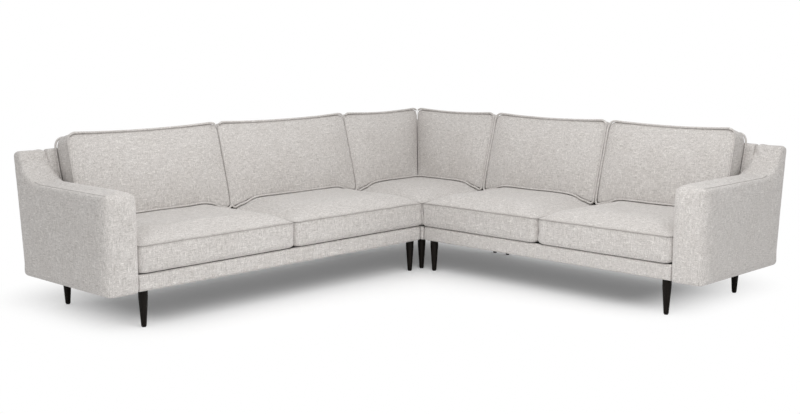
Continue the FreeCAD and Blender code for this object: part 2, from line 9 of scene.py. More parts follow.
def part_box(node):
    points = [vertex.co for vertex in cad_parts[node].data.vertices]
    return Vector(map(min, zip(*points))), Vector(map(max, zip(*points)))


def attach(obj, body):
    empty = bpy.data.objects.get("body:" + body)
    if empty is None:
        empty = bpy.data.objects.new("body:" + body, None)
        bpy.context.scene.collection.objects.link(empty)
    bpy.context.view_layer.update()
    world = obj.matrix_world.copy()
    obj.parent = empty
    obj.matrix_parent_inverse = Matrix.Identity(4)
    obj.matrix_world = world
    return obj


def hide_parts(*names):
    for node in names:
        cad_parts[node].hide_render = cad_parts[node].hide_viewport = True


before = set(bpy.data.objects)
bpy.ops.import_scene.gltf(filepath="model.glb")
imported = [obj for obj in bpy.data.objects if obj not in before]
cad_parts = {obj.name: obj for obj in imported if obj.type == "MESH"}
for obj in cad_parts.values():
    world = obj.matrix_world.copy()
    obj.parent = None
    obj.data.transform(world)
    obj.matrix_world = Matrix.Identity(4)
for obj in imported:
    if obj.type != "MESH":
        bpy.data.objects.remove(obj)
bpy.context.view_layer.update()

# Places and sizes read from the frame, in metres
SEAT_LOW, SEAT_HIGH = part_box("corner_seat_cover")
LEFT_ARM_LOW, LEFT_ARM_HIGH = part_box("left_arm_upholstery")
RIGHT_ARM_LOW, RIGHT_ARM_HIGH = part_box("right_arm_upholstery")
RAIL_LOW, RAIL_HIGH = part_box("left_front_upholstery")
CLEAR = 0.0005
CORNER = Vector((SEAT_LOW[0] - CLEAR, SEAT_LOW[1] - CLEAR, 0))
LEFT = CORNER.x - LEFT_ARM_HIGH[0]
RIGHT = CORNER.y - RIGHT_ARM_HIGH[1]
ARM = LEFT_ARM_HIGH[0] - LEFT_ARM_LOW[0]
SEAT_DEPTH = SEAT_HIGH[0] - SEAT_LOW[0] + 2 * CLEAR
SEAT_BOTTOM = SEAT_LOW[2]
BOTTOM = RAIL_LOW[2]
RAIL_TOP = RAIL_HIGH[2]
FRONT_FACE = RAIL_LOW[1] - CORNER.y
BACK_TOP = LEFT_ARM_HIGH[2]
RAIL_BACK = 0.700
DECK_TOP = 0.266
BACK_REACH = LEFT_ARM_HIGH[1] - CORNER.y
LEFT_END = CORNER.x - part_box("left_outer_back_cover")[0][0] + CLEAR
RIGHT_END = CORNER.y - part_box("right_outer_back_cover")[0][1] + CLEAR

# Sizes repeated from the part's own driving dimensions
SEAT_WELT = 0.400
SEAT_CROWN = 0.052
RAKE = math.radians(15.2)
LEAN = math.tan(RAKE)
FOOT_DEPTH = 0.546
FOOT_HEIGHT = 0.4328
BACK_RISE = 0.473
BACK_BOXING = 0.108
ARM_TOP = 0.658
REAR_FOOT = 0.769
GAP = 0.003
UP = Vector((0, 0, 1))


# Lines of construction

class Run:
    """A line through the inner corner: distance along it, depth behind the seat front, height."""

    def __init__(self, axis, sign):
        self.axis = axis
        self.sign = sign

    def point(self, along, depth, height=0.0):
        if self.axis == "x":
            return Vector((CORNER.x + self.sign * along, CORNER.y + depth, height))
        return Vector((CORNER.x + depth, CORNER.y + self.sign * along, height))


LEFT_RUN = Run("x", -1)
RIGHT_RUN = Run("y", -1)
CORNER_RUN = Run("x", 1)
CORNER_SIDE_RUN = Run("y", 1)


# Materials

def new_material(name):
    material = bpy.data.materials.new(name)
    material.use_nodes = True
    nodes = material.node_tree.nodes
    nodes.clear()
    output = nodes.new("ShaderNodeOutputMaterial")
    shader = nodes.new("ShaderNodeBsdfPrincipled")
    material.node_tree.links.new(shader.outputs[0], output.inputs[0])
    return material, nodes, material.node_tree.links, shader


def noise_node(nodes, links, source, scale, detail, stretch=(1, 1, 1)):
    mapping = nodes.new("ShaderNodeMapping")
    mapping.inputs["Scale"].default_value = stretch
    links.new(source, mapping.inputs["Vector"])
    texture = nodes.new("ShaderNodeTexNoise")
    texture.inputs["Scale"].default_value = scale
    texture.inputs["Detail"].default_value = detail
    texture.inputs["Roughness"].default_value = 0.6
    links.new(mapping.outputs[0], texture.inputs["Vector"])
    return texture.outputs["Fac"]


def ramp(nodes, links, source, stops):
    node = nodes.new("ShaderNodeValToRGB")
    elements = node.color_ramp.elements
    while len(elements) < len(stops):
        elements.new(0.5)
    for element, (position, colour) in zip(elements, stops):
        element.position = position
        element.color = (*colour, 1)
    links.new(source, node.inputs["Fac"])
    return node.outputs["Color"]


def blend_colours(nodes, links, share, first, second, mode="MIX"):
    node = nodes.new("ShaderNodeMix")
    node.data_type = "RGBA"
    node.blend_type = mode
    if isinstance(share, float):
        node.inputs["Factor"].default_value = share
    else:
        links.new(share, node.inputs["Factor"])
    for socket, value in (("A", first), ("B", second)):
        target = [i for i in node.inputs if i.name == socket and i.type == "RGBA"][0]
        if isinstance(value, tuple):
            target.default_value = (*value, 1)
        else:
            links.new(value, target)
    return [o for o in node.outputs if o.type == "RGBA"][0]


def maths(nodes, links, operation, first, second=0.5):
    node = nodes.new("ShaderNodeMath")
    node.operation = operation
    for socket, value in zip(node.inputs, (first, second)):
        if isinstance(value, (int, float)):
            socket.default_value = value
        else:
            links.new(value, socket)
    return node.outputs[0]


def weave(nodes, links, source, pitch):
    """Threads that cross on every side of a boxy piece: fine waves along all three axes."""
    total = None
    separate = nodes.new("ShaderNodeSeparateXYZ")
    links.new(source, separate.inputs[0])
    for axis in range(3):
        turns = maths(nodes, links, "MULTIPLY", separate.outputs[axis], 2 * math.pi / pitch)
        wave = maths(nodes, links, "SINE", turns)
        total = wave if total is None else maths(nodes, links, "ADD", total, wave)
    return maths(nodes, links, "MULTIPLY_ADD", total, 0.16)


# Threads show about as wide as this share of a metre, and their slubs are drawn out lengthwise
THREAD_SCALE = 230
THREAD_DRAW = 0.16


def fabric_material(name, tone, fleck_light, fleck_dark, depth):
    """A heathered woven cloth: slubs both ways, pale and dark flecks, a soft nap, and painted shade in the
    creases beside its seams.
    """
    material, nodes, links, shader = new_material(name)
    where = nodes.new("ShaderNodeTexCoord").outputs["Object"]
    slubs = [
        noise_node(nodes, links, where, THREAD_SCALE, 2, stretch)
        for stretch in ((THREAD_DRAW, 1, 1), (1, THREAD_DRAW, 1), (1, 1, THREAD_DRAW))
    ]
    most = maths(nodes, links, "MAXIMUM", maths(nodes, links, "MAXIMUM", *slubs[:2]), slubs[2])
    least = maths(nodes, links, "MINIMUM", maths(nodes, links, "MINIMUM", *slubs[:2]), slubs[2])
    threads = maths(nodes, links, "MULTIPLY", maths(nodes, links, "ADD", most, least), 0.5)
    cloud = noise_node(nodes, links, where, 7, 2)
    low = tuple(c * (1 - depth) for c in tone)
    high = tuple(min(c * (1 + depth), 1) for c in tone)
    body = ramp(nodes, links, threads, [(0.38, low), (0.5, tone), (0.62, high)])
    light = ramp(nodes, links, most, [(0.62, (0, 0, 0)), (0.7, (1, 1, 1))])
    dark = ramp(nodes, links, least, [(0.3, (1, 1, 1)), (0.38, (0, 0, 0))])
    lit = blend_colours(nodes, links, maths(nodes, links, "MULTIPLY", light, 0.65), body, fleck_light)
    mixed = blend_colours(nodes, links, maths(nodes, links, "MULTIPLY", dark, 0.65), lit, fleck_dark)
    shade = ramp(nodes, links, cloud, [(0.3, (0.965, 0.96, 0.955)), (0.7, (1, 1, 1))])
    colour = blend_colours(nodes, links, 1.0, mixed, shade, "MULTIPLY")
    # Painted shade: the cloth beside a seam is darkened by the seam weight, standing in for the shade that
    # falls into the crease there
    seam = nodes.new("ShaderNodeAttribute")
    seam.attribute_name = "seam"
    painted_seam_shade = ramp(nodes, links, seam.outputs["Fac"], [(0.0, (1, 1, 1)), (1.0, (0.42, 0.4, 0.38))])
    colour = blend_colours(nodes, links, 1.0, colour, painted_seam_shade, "MULTIPLY")
    links.new(colour, shader.inputs["Base Color"])
    shader.inputs["Roughness"].default_value = 0.92
    shader.inputs["Specular IOR Level"].default_value = 0.18
    shader.inputs["Sheen Weight"].default_value = 0.25
    shader.inputs["Sheen Roughness"].default_value = 0.45
    height = maths(nodes, links, "ADD", threads, weave(nodes, links, where, 0.0022))
    bump = nodes.new("ShaderNodeBump")
    bump.inputs["Strength"].default_value = 0.55
    bump.inputs["Distance"].default_value = 0.0011
    links.new(height, bump.inputs["Height"])
    links.new(bump.outputs[0], shader.inputs["Normal"])
    return material


def lacquer_material():
    """Black stained beech under a satin lacquer, with the grain just showing."""
    material, nodes, links, shader = new_material("black_lacquered_beech")
    where = nodes.new("ShaderNodeTexCoord").outputs["Object"]
    grain = noise_node(nodes, links, where, 190, 5, (1, 1, 0.06))
    wear = noise_node(nodes, links, where, 30, 3)
    colour = ramp(nodes, links, grain, [(0.3, (0.004, 0.0028, 0.0021)), (0.7, (0.009, 0.0064, 0.0048))])
    links.new(colour, shader.inputs["Base Color"])
    rough = ramp(nodes, links, wear, [(0.3, (0.34, 0.34, 0.34)), (0.7, (0.46, 0.46, 0.46))])
    links.new(rough, shader.inputs["Roughness"])
    shader.inputs["Specular IOR Level"].default_value = 0.12
    bump = nodes.new("ShaderNodeBump")
    bump.inputs["Strength"].default_value = 0.25
    bump.inputs["Distance"].default_value = 0.0004
    links.new(grain, bump.inputs["Height"])
    links.new(bump.outputs[0], shader.inputs["Normal"])
    return material


def timber_material(name, pale, dark):
    """Sawn wood with long grain and pores."""
    material, nodes, links, shader = new_material(name)
    where = nodes.new("ShaderNodeTexCoord").outputs["Object"]
    rings = noise_node(nodes, links, where, 38, 6, (1, 1, 4))
    pores = noise_node(nodes, links, where, 300, 3, (0.2, 0.2, 1))
    colour = ramp(nodes, links, rings, [(0.32, dark), (0.68, pale)])
    speck = ramp(nodes, links, pores, [(0.3, (0.82, 0.8, 0.76)), (0.5, (1, 1, 1))])
    links.new(blend_colours(nodes, links, 1.0, colour, speck, "MULTIPLY"), shader.inputs["Base Color"])
    shader.inputs["Roughness"].default_value = 0.7
    bump = nodes.new("ShaderNodeBump")
    bump.inputs["Strength"].default_value = 0.3
    bump.inputs["Distance"].default_value = 0.0005
    links.new(pores, bump.inputs["Height"])
    links.new(bump.outputs[0], shader.inputs["Normal"])
    return material


def plain_cloth_material(name, colour, pitch):
    """A thin lining or webbing cloth with an even weave and a little dust."""
    material, nodes, links, shader = new_material(name)
    where = nodes.new("ShaderNodeTexCoord").outputs["Object"]
    dust = noise_node(nodes, links, where, 18, 4)
    pale = tuple(c * 1.35 + 0.01 for c in colour)
    links.new(ramp(nodes, links, dust, [(0.35, colour), (0.8, pale)]), shader.inputs["Base Color"])
    shader.inputs["Roughness"].default_value = 0.88
    bump = nodes.new("ShaderNodeBump")
    bump.inputs["Strength"].default_value = 0.4
    bump.inputs["Distance"].default_value = 0.0006
    links.new(weave(nodes, links, where, pitch), bump.inputs["Height"])
    links.new(bump.outputs[0], shader.inputs["Normal"])
    return material


def metal_material(name, colour, roughness):
    """Zinc plated or moulded small parts with fine scratches."""
    material, nodes, links, shader = new_material(name)
    where = nodes.new("ShaderNodeTexCoord").outputs["Object"]
    scratch = noise_node(nodes, links, where, 420, 4, (1, 0.1, 1))
    spread = [(0.3, (roughness - 0.08,) * 3), (0.7, (roughness + 0.12,) * 3)]
    links.new(ramp(nodes, links, scratch, spread), shader.inputs["Roughness"])
    tint = [(0.3, tuple(c * 0.85 for c in colour)), (0.7, colour)]
    links.new(ramp(nodes, links, scratch, tint), shader.inputs["Base Color"])
    bump = nodes.new("ShaderNodeBump")
    bump.inputs["Strength"].default_value = 0.15
    bump.inputs["Distance"].default_value = 0.0002
    links.new(scratch, bump.inputs["Height"])
    links.new(bump.outputs[0], shader.inputs["Normal"])
    return material, shader


FABRIC_TONE = (0.56, 0.535, 0.515)
FABRIC = fabric_material("heathered_cloth", FABRIC_TONE, (0.8, 0.78, 0.75), (0.36, 0.335, 0.31), 0.16)
PIPING = fabric_material("heathered_welt", FABRIC_TONE, (0.8, 0.78, 0.75), (0.36, 0.335, 0.31), 0.1)
# The seat welts and the seam threads are real, but coloured darker than the cloth as painted shade, standing
# in for the shadow lines along their seams
SEAT_PIPING_DARK_AS_SHADE = plain_cloth_material("seat_seam", (0.27, 0.255, 0.24), 0.002)
THREAD_DARK_AS_SHADE = plain_cloth_material("seam_thread", (0.33, 0.315, 0.3), 0.002)
DECK_CLOTH = plain_cloth_material("deck_cloth", (0.045, 0.044, 0.043), 0.003)
LACQUER = lacquer_material()
TIMBER = timber_material("sawn_timber", (0.62, 0.45, 0.27), (0.44, 0.29, 0.16))
LINING = plain_cloth_material("black_lining", (0.012, 0.012, 0.013), 0.003)
WEBBING = plain_cloth_material("jute_webbing", (0.2, 0.16, 0.1), 0.005)
PLASTIC = metal_material("black_nylon", (0.02, 0.02, 0.02), 0.5)[0]
STEEL, STEEL_SHADER = metal_material("zinc_plate", (0.62, 0.62, 0.6), 0.35)
STEEL_SHADER.inputs["Metallic"].default_value = 1.0


# Mesh helpers

def new_piece(name, points, faces, material):
    mesh = bpy.data.meshes.new(name)
    mesh.from_pydata([tuple(p) for p in points], [], faces)
    mesh.materials.append(material)
    shade_smooth(mesh)
    piece = bpy.data.objects.new(name, mesh)
    bpy.context.scene.collection.objects.link(piece)
    return piece


def shade_smooth(mesh):
    mesh.polygons.foreach_set("use_smooth", [True] * len(mesh.polygons))


def apply_modifiers(piece):
    graph = bpy.context.evaluated_depsgraph_get()
    mesh = bpy.data.meshes.new_from_object(piece.evaluated_get(graph))
    old = piece.data
    piece.modifiers.clear()
    piece.data = mesh
    bpy.data.meshes.remove(old)
    shade_smooth(mesh)


def subdivide(piece):
    modifier = piece.modifiers.new("fine", "SUBSURF")
    modifier.levels = 1
    modifier.render_levels = 1
    apply_modifiers(piece)


def surface_of(piece):
    mesh = piece.data
    points = [v.co.copy() for v in mesh.vertices]
    return BVHTree.FromPolygons(points, [tuple(p.vertices) for p in mesh.polygons])


def smooth_path(points, closed, parts):
    """A Catmull-Rom curve through the points, with each stretch cut into parts."""
    count = len(points)
    path = []
    for i in range(count if closed else count - 1):
        near = [i - 1, i, i + 1, i + 2]
        if closed:
            a, b, c, d = (points[k % count] for k in near)
        else:
            a, b, c, d = (points[min(max(k, 0), count - 1)] for k in near)
        for part in range(parts):
            t = part / parts
            bend = (2 * a - 5 * b + 4 * c - d) * t * t + (3 * b - a - 3 * c + d) * t ** 3
            path.append((2 * b + (c - a) * t + bend) / 2)
    if not closed:
        path.append(points[-1].copy())
    return path


TUBE_SIDES = 10


def tube(name, path, closed, radii, material):
    """Round cord or thread along a path, of one radius or of one for each point."""
    count = len(path)
    if isinstance(radii, float):
        radii = [radii] * count
    points = []
    across = None
    for i, centre in enumerate(path):
        before = path[i - 1] if closed or i > 0 else centre
        after = path[(i + 1) % count] if closed or i < count - 1 else centre
        ahead = (after - before).normalized()
        across = ahead.orthogonal() if across is None else across - ahead * across.dot(ahead)
        across = across.normalized()
        side = ahead.cross(across)
        for k in range(TUBE_SIDES):
            turn = 2 * math.pi * k / TUBE_SIDES
            points.append(centre + (across * math.cos(turn) + side * math.sin(turn)) * radii[i])
    # On a closed path the last ring meets the first at its nearest turn
    last = points[(count - 1) * TUBE_SIDES]
    closing = min(range(TUBE_SIDES), key=lambda k: (points[k] - last).length) if closed else 0
    faces = []
    for i in range(count if closed else count - 1):
        here = i * TUBE_SIDES
        there = (i + 1) % count * TUBE_SIDES
        turn = closing if i == count - 1 else 0
        for k in range(TUBE_SIDES):
            ahead = (k + 1) % TUBE_SIDES
            faces.append((here + k, here + ahead, there + (ahead + turn) % TUBE_SIDES,
                          there + (k + turn) % TUBE_SIDES))
    if not closed:
        faces.append([k for k in reversed(range(TUBE_SIDES))])
        faces.append([(count - 1) * TUBE_SIDES + k for k in range(TUBE_SIDES)])
    return new_piece(name, points, faces, material)


def ripple(where, pitch, seed):
    """Smooth seeded unevenness, from -1 to 1."""
    return noise.noise(where / pitch + Vector((seed * 7.31, seed * 3.17, seed * 5.77)))


# Cloth under pressure

SIM_FRAMES = 20


def add_pressure(piece, held, pressure):
    """Cloth with a little air pressure inside, held at its seams and where it rests."""
    group = piece.vertex_groups.new(name="held")
    group.add(held, 1.0, "REPLACE")
    cloth = piece.modifiers.new("filling", "CLOTH")
    settings = cloth.settings
    settings.quality = 4
    settings.mass = 0.3
    settings.tension_stiffness = 20
    settings.compression_stiffness = 20
    settings.shear_stiffness = 10
    settings.bending_stiffness = 1.5
    settings.use_pressure = True
    settings.uniform_pressure_force = pressure
    settings.vertex_group_mass = group.name
    settings.effector_weights.gravity = 0
    cloth.collision_settings.use_collision = False
    cloth.point_cache.frame_start = 1
    cloth.point_cache.frame_end = SIM_FRAMES


def fill_pieces(fillings):
    """Steps all the pieces together, then keeps each point's movement, up to the piece's cap.
    A filling is a piece, the points held, the pressure and the cap."""
    starts = []
    for piece, held, pressure, cap in fillings:
        starts.append([v.co.copy() for v in piece.data.vertices])
        add_pressure(piece, held, pressure)
    scene = bpy.context.scene
    for number in range(1, SIM_FRAMES + 1):
        scene.frame_set(number)
    graph = bpy.context.evaluated_depsgraph_get()
    for (piece, held, pressure, cap), start in zip(fillings, starts):
        ends = [v.co.copy() for v in piece.evaluated_get(graph).data.vertices]
        piece.modifiers.clear()
        piece.vertex_groups.clear()
        for vertex, before, after in zip(piece.data.vertices, start, ends):
            step = after - before
            if step.length > cap:
                step *= cap / step.length
            vertex.co = before + step
    scene.frame_set(1)


# Cushions

CELL = 0.0145
SEAM_ROWS = (0.0, 0.003, 0.008, 0.017)
# Painted shade beside a seam, row by row out from it
SEAM_SHADE = (1.0, 0.6, 0.1, 0.0)
SEAM_TUCK = 1.25
TUCK_DEPTH = 0.03
WAVE = 0.0016
WAVE_PITCH = 0.085
UNEVEN = 0.003
UNEVEN_PITCH = 0.23
CONFORM = 0.17
CLEARANCE = 0.0045
CORD_EASE = 4
FOOT_REACH = 0.045
FULL = 3.2
FRONT_FULL = 4.3
REAR_FULL = 12


def shares(length):
    """Places along a side as shares of it, closer together beside its seams."""
    rows = list(SEAM_ROWS)
    middle = length - 2 * rows[-1]
    count = round(middle / CELL)
    rows += [rows[-1] + middle * i / count for i in range(1, count)]
    rows += [length - row for row in reversed(SEAM_ROWS)]
    return [row / length for row in rows]


class Cushion:
    """A boxed, welted cushion in its own frame: x across, y up its face, or back over the
    seat, and z through it, from the lower face to the crowned one."""

    def __init__(self, name, seed, low, high, reach, boxing, radii, place):
        self.name = name
        self.seed = seed
        self.low = low
        self.high = high
        self.reach = reach
        self.boxing = boxing
        self.place = place
        self.radii = radii
        self.crowns = (0.0, 0.0)
        self.spread = 0.22
        self.fullness = (FULL, FULL, FULL, FULL)
        self.cap = 0.012
        self.cord = 0.0018
        self.end_cords = (0.0018, 0.0018)
        # Strength of the painted shade beside the welts, on the long sides and at each end
        self.painted_seam_shade = 0.5
        self.end_painted_seam_shades = (0.5, 0.5)
        self.end_draws = (0.5, 0.5)
        self.top_bow = 0.0
        self.peak = 0.0
        self.proud = 0.0
        self.lift = 0.3
        # Seat welts are coloured dark as painted shade along their seam
        self.piping = SEAT_PIPING_DARK_AS_SHADE
        self.lower_seam = False
        self.lower_round = 0.0
        self.seats = None

    def limits(self, y):
        """The ends across the cushion at a distance up its face."""
        share = y / self.reach
        return [a + (b - a) * share for a, b in zip(self.low, self.high)]

    def foot_reach(self, end):
        """How far up an end its rounded foot shows."""
        return FOOT_REACH * min(self.radii[end] / FOOT, 1)

    def draw(self, end, y):
        """Share of the draw-in at an end, which is whole beside the foot."""
        share = self.end_draws[end]
        return share + (1 - share) * max(0, 1 - y / self.foot_reach(end)) ** 2

    def outline(self, across, along, inset):
        """A point inside the rounded outline, from shares of its two sides."""
        y = inset + along * (self.reach - 2 * inset)
        x0, x1 = self.limits(y)
        x0 += inset * self.draw(0, y)
        x1 -= inset * self.draw(1, y)
        x = x0 + across * (x1 - x0)
        for corner, radius in enumerate(self.radii):
            right = corner in (1, 2)
            far = corner in (2, 3)
            dx = x1 - x if right else x - x0
            dy = self.reach - inset - y if far else y - inset
            if dx < radius and dy < radius:
                px = 1 - dx / radius
                py = 1 - dy / radius
                pull = max(px, py) / max(math.hypot(px, py), 1e-9)
                dx = radius - px * pull * radius
                dy = radius - py * pull * radius
                x = x1 - dx if right else x0 + dx
                y = self.reach - inset - dy if far else inset + dy
        # Between its corners the top draws in a little, and the upper corners peak
        y += along ** 2 * (self.peak - (self.peak + self.top_bow) * 4 * across * (1 - across))
        return x, y

    def seam_inset(self, height):
        """How far the boxing draws in beside its welts and round its lower edge."""
        gap = self.boxing - height
        inset = self.proud + SEAM_TUCK * self.cord * max(0, 1 - gap / TUCK_DEPTH) ** 2
        if self.lower_seam:
            inset += SEAM_TUCK * self.cord * max(0, 1 - height / TUCK_DEPTH) ** 2
        elif height < self.lower_round:
            drop = self.lower_round - height
            inset += self.lower_round - math.sqrt(self.lower_round ** 2 - drop ** 2)
        return inset

    def wave(self, x, y, z):
        return WAVE * ripple(Vector((x, y, z)), WAVE_PITCH, self.seed)

    def share(self, distance, fullness):
        """Share of the full crown at a distance inside the welt."""
        return 1 - (1 - min(max(distance / self.spread, 0), 1)) ** fullness

    def dome(self, x, y):
        """Share of the full crown, steeper beside the sides that have more fullness."""
        x0, x1 = self.limits(y)
        share = 1
        for distance, fullness in zip((x - x0, x1 - x, y, self.reach - y), self.fullness):
            share *= self.share(distance, fullness)
        return share

    def point(self, across, along, up):
        """A point of the sewn cover before it is filled."""
        height = up * self.boxing
        x, y = self.outline(across, along, self.seam_inset(height))
        x, y = self.outline(across, along, self.seam_inset(height) + WAVE / 2 + self.wave(x, y, height) / 2)
        height += self.wave(y, x, height)
        dome = self.dome(x, y)
        uneven = UNEVEN * ripple(Vector((x, y, up)), UNEVEN_PITCH, self.seed)
        if up == 1:
            height += (self.crowns[1] + uneven) * dome
        if up == 0:
            height -= self.crowns[0] * dome
        return Vector((x, y, height))

    def border(self):
        nx, ny = self.counts[:2]
        loop = [(i, 0) for i in range(nx)]
        loop += [(nx, j) for j in range(ny)]
        loop += [(i, ny) for i in range(nx, 0, -1)]
        loop += [(0, j) for j in range(ny, 0, -1)]
        return loop

    def sew(self):
        """Makes the cover: two faces and the boxing between them."""
        width = (self.low[1] - self.low[0] + self.high[1] - self.high[0]) / 2
        rows = [shares(length) for length in (width, self.reach, self.boxing)]
        self.rows = rows
        self.counts = [len(r) - 1 for r in rows]
        nx, ny, nz = self.counts
        self.index = {}
        points = []
        shades = []

        def vertex(i, j, k):
            if (i, j, k) not in self.index:
                self.index[(i, j, k)] = len(points)
                points.append(self.point(rows[0][i], rows[1][j], rows[2][k]))
                shades.append(self.shade(i, j, k))
            return self.index[(i, j, k)]

        faces = []
        for k, below in ((0, True), (nz, False)):
            for i in range(nx):
                for j in range(ny):
                    corners = ((i, j), (i + 1, j), (i + 1, j + 1), (i, j + 1))
                    quad = [vertex(*corner, k) for corner in corners]
                    faces.append(quad[::-1] if below else quad)
        loop = self.border()
        for k in range(nz):
            for a, b in zip(loop, loop[1:] + loop[:1]):
                faces.append([vertex(*a, k), vertex(*b, k), vertex(*b, k + 1), vertex(*a, k + 1)])
        self.piece = new_piece(self.name + "_cloth", points, faces, FABRIC)
        # The seam weight holds the painted shade beside the welts, which the cloth material darkens by
        shade = self.piece.data.attributes.new("seam", "FLOAT", "POINT")
        shade.data.foreach_set("value", shades)

    def shade(self, i, j, k):
        """Weight of the painted shade at a point beside a seam, from 0 to 1."""
        nx, ny, nz = self.counts
        ring = min(i, nx - i, j, ny - j)
        rise = nz - k
        if not self.lower_seam and k < nz / 2:
            return 0.0
        rise = min(rise, k) if self.lower_seam else rise
        row = ring if rise == 0 else rise
        painted_seam_shade = self.painted_seam_shade
        if min(i, nx - i) < min(j, ny - j):
            painted_seam_shade = self.end_painted_seam_shades[0 if i < nx / 2 else 1]
        return painted_seam_shade * SEAM_SHADE[row] if row < len(SEAM_SHADE) else 0.0

    def held(self):
        """The seams, and the face that rests."""
        nz = self.counts[2]
        points = [self.index[(i, j, nz)] for i, j in self.border()]
        if self.lower_seam:
            return points + [self.index[(i, j, 0)] for i, j in self.border()]
        return points + [n for (i, j, k), n in self.index.items() if k == 0]

    def trim(self):
        """Presses the filled cover back inside its own place between its neighbours."""
        for vertex in self.piece.data.vertices:
            x, y, z = vertex.co
            y = min(max(y, 0.0), self.reach + self.peak)
            x0, x1 = self.limits(y)
            vertex.co = (min(max(x, x0), x1), y, max(z, -self.crowns[0]))

    def settle(self, point):
        """The point in the part's frame, with the foot of a back cushion following the seat."""
        placed = self.place @ point
        if self.seats is None or point.y > CONFORM:
            return placed
        behind = self.boxing - point.z
        depth = min(behind * math.cos(RAKE), SEAT_DEPTH - FOOT_DEPTH - 0.012)
        foot = self.place @ Vector((point.x, 0, self.boxing - depth / math.cos(RAKE)))
        hit = self.seats.ray_cast(Vector((foot.x, foot.y, BACK_TOP)), -UP)[0]
        seat = max(hit.z, SEAT_WELT) if hit else SEAT_WELT
        ease = (1 - max(point.y, 0) / CONFORM) ** 2
        placed.z -= (foot.z - seat - CLEARANCE) * ease
        return placed

    def cord_radii(self, front):
        """Radius of a welt along its path; it may sink away at the two ends."""
        nx = self.counts[0]
        radii = []
        for i, j in self.border():
            radius = self.cord
            if i in (0, nx) and self.rows[1][j] * self.reach > self.foot_reach(i // nx):
                close = self.end_draws[i // nx] < 1
                radius = self.end_cords[i // nx] if front or close else self.cord
            radii += [radius, radius]
        for again in range(CORD_EASE):
            around = zip(radii[-1:] + radii, radii, radii[1:] + radii[:1])
            radii = [(a + 2 * b + c) / 4 for a, b, c in around]
        return radii

    def finish(self, body, fill, *nodes):
        """Fits the filled cover in place and sews the welts on."""
        self.trim()
        for vertex in self.piece.data.vertices:
            vertex.co = self.settle(vertex.co)
        subdivide(self.piece)
        parts = [self.piece]
        levels = [(1, self.boxing)]
        if self.lower_seam:
            levels.append((0, 0.0))
        for number, (side, height) in enumerate(levels):
            path = []
            for i, j in self.border():
                x, y = self.outline(self.rows[0][i], self.rows[1][j], self.cord)
                push = WAVE / 2 + self.wave(x, y, height) / 2
                x, y = self.outline(self.rows[0][i], self.rows[1][j], self.cord + push)
                lift = self.cord * self.lift * (1 if side else -1) + self.wave(y, x, height)
                path.append(self.settle(Vector((x, y, height + lift))))
            path = smooth_path(path, True, 2)
            name = "%s_welt_%s" % (self.name, ("front", "rear")[number])
            parts.append(tube(name, path, True, self.cord_radii(side == 1), self.piping))
        for part in parts:
            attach(part, body)
        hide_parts(*nodes)


# An end of a back cushion: radius of its welt, strength of the painted shade beside it and share of the
# draw-in
END_LOOKS = {
    "plain": (0.0058, 0.35, 1.0),
    "soft": (0.0008, 0.0, 0.1),
    "outer": (0.003, 0.0, 1.0),
}
END_FULL = {"plain": FULL, "soft": 2.4, "outer": FULL}
FOOT_FULL = 1.6


def seat_cushion(label, seed, x0, x1, y0, y1, radii, fullness):
    place = Matrix.Translation((CORNER.x, CORNER.y + y0, SEAT_BOTTOM))
    ends = (x0 + CLEAR, x1 - CLEAR)
    boxing = SEAT_WELT - SEAT_BOTTOM
    cushion = Cushion(label + "_seat", seed, ends, ends, y1 - y0, boxing, radii, place)
    cushion.crowns = (0.0, SEAT_CROWN)
    cushion.fullness = fullness
    cushion.spread = 0.2
    cushion.lower_round = 0.02
    cushion.sew()
    return cushion


def back_cushion(label, seed, run, low_ends, high_ends, radii, ends):
    """Ends are how the front welt shows at the low and the high end: see END_LOOKS."""
    side = run.sign if run.axis == "x" else -run.sign
    low = sorted(side * end for end in low_ends)
    high = sorted(side * end for end in high_ends)
    low = (low[0] + CLEAR, low[1] - CLEAR)
    high = (high[0] + CLEAR, high[1] - CLEAR)
    turn = Matrix.Rotation(math.pi / 2 - RAKE, 4, "X")
    if run.axis == "y":
        turn = Matrix.Rotation(-math.pi / 2, 4, "Z") @ turn
    depth = FOOT_DEPTH + BACK_BOXING * math.cos(RAKE)
    height = FOOT_HEIGHT - BACK_BOXING * math.sin(RAKE)
    place = Matrix.Translation(run.point(0, depth, height)) @ turn
    cushion = Cushion(label + "_back", seed, low, high, BACK_RISE, BACK_BOXING, radii, place)
    cushion.crowns = (0.006, 0.034)
    cushion.cap = 0.005
    cushion.cord = 0.0058
    # Painted shade beside the back cushion's welts
    cushion.painted_seam_shade = 0.6
    cushion.top_bow = 0.0045
    cushion.peak = 0.009
    cushion.proud = 0.004
    cushion.lift = 1.2
    cushion.fullness = (END_FULL[ends[0]], END_FULL[ends[1]], FOOT_FULL, FULL)
    cushion.piping = PIPING
    looks = [END_LOOKS[end] for end in ends]
    cushion.end_cords = tuple(look[0] for look in looks)
    cushion.end_painted_seam_shades = tuple(look[1] for look in looks)
    cushion.end_draws = tuple(look[2] for look in looks)
    cushion.lower_seam = True
    cushion.sew()
    return cushion


# Upholstered bodies

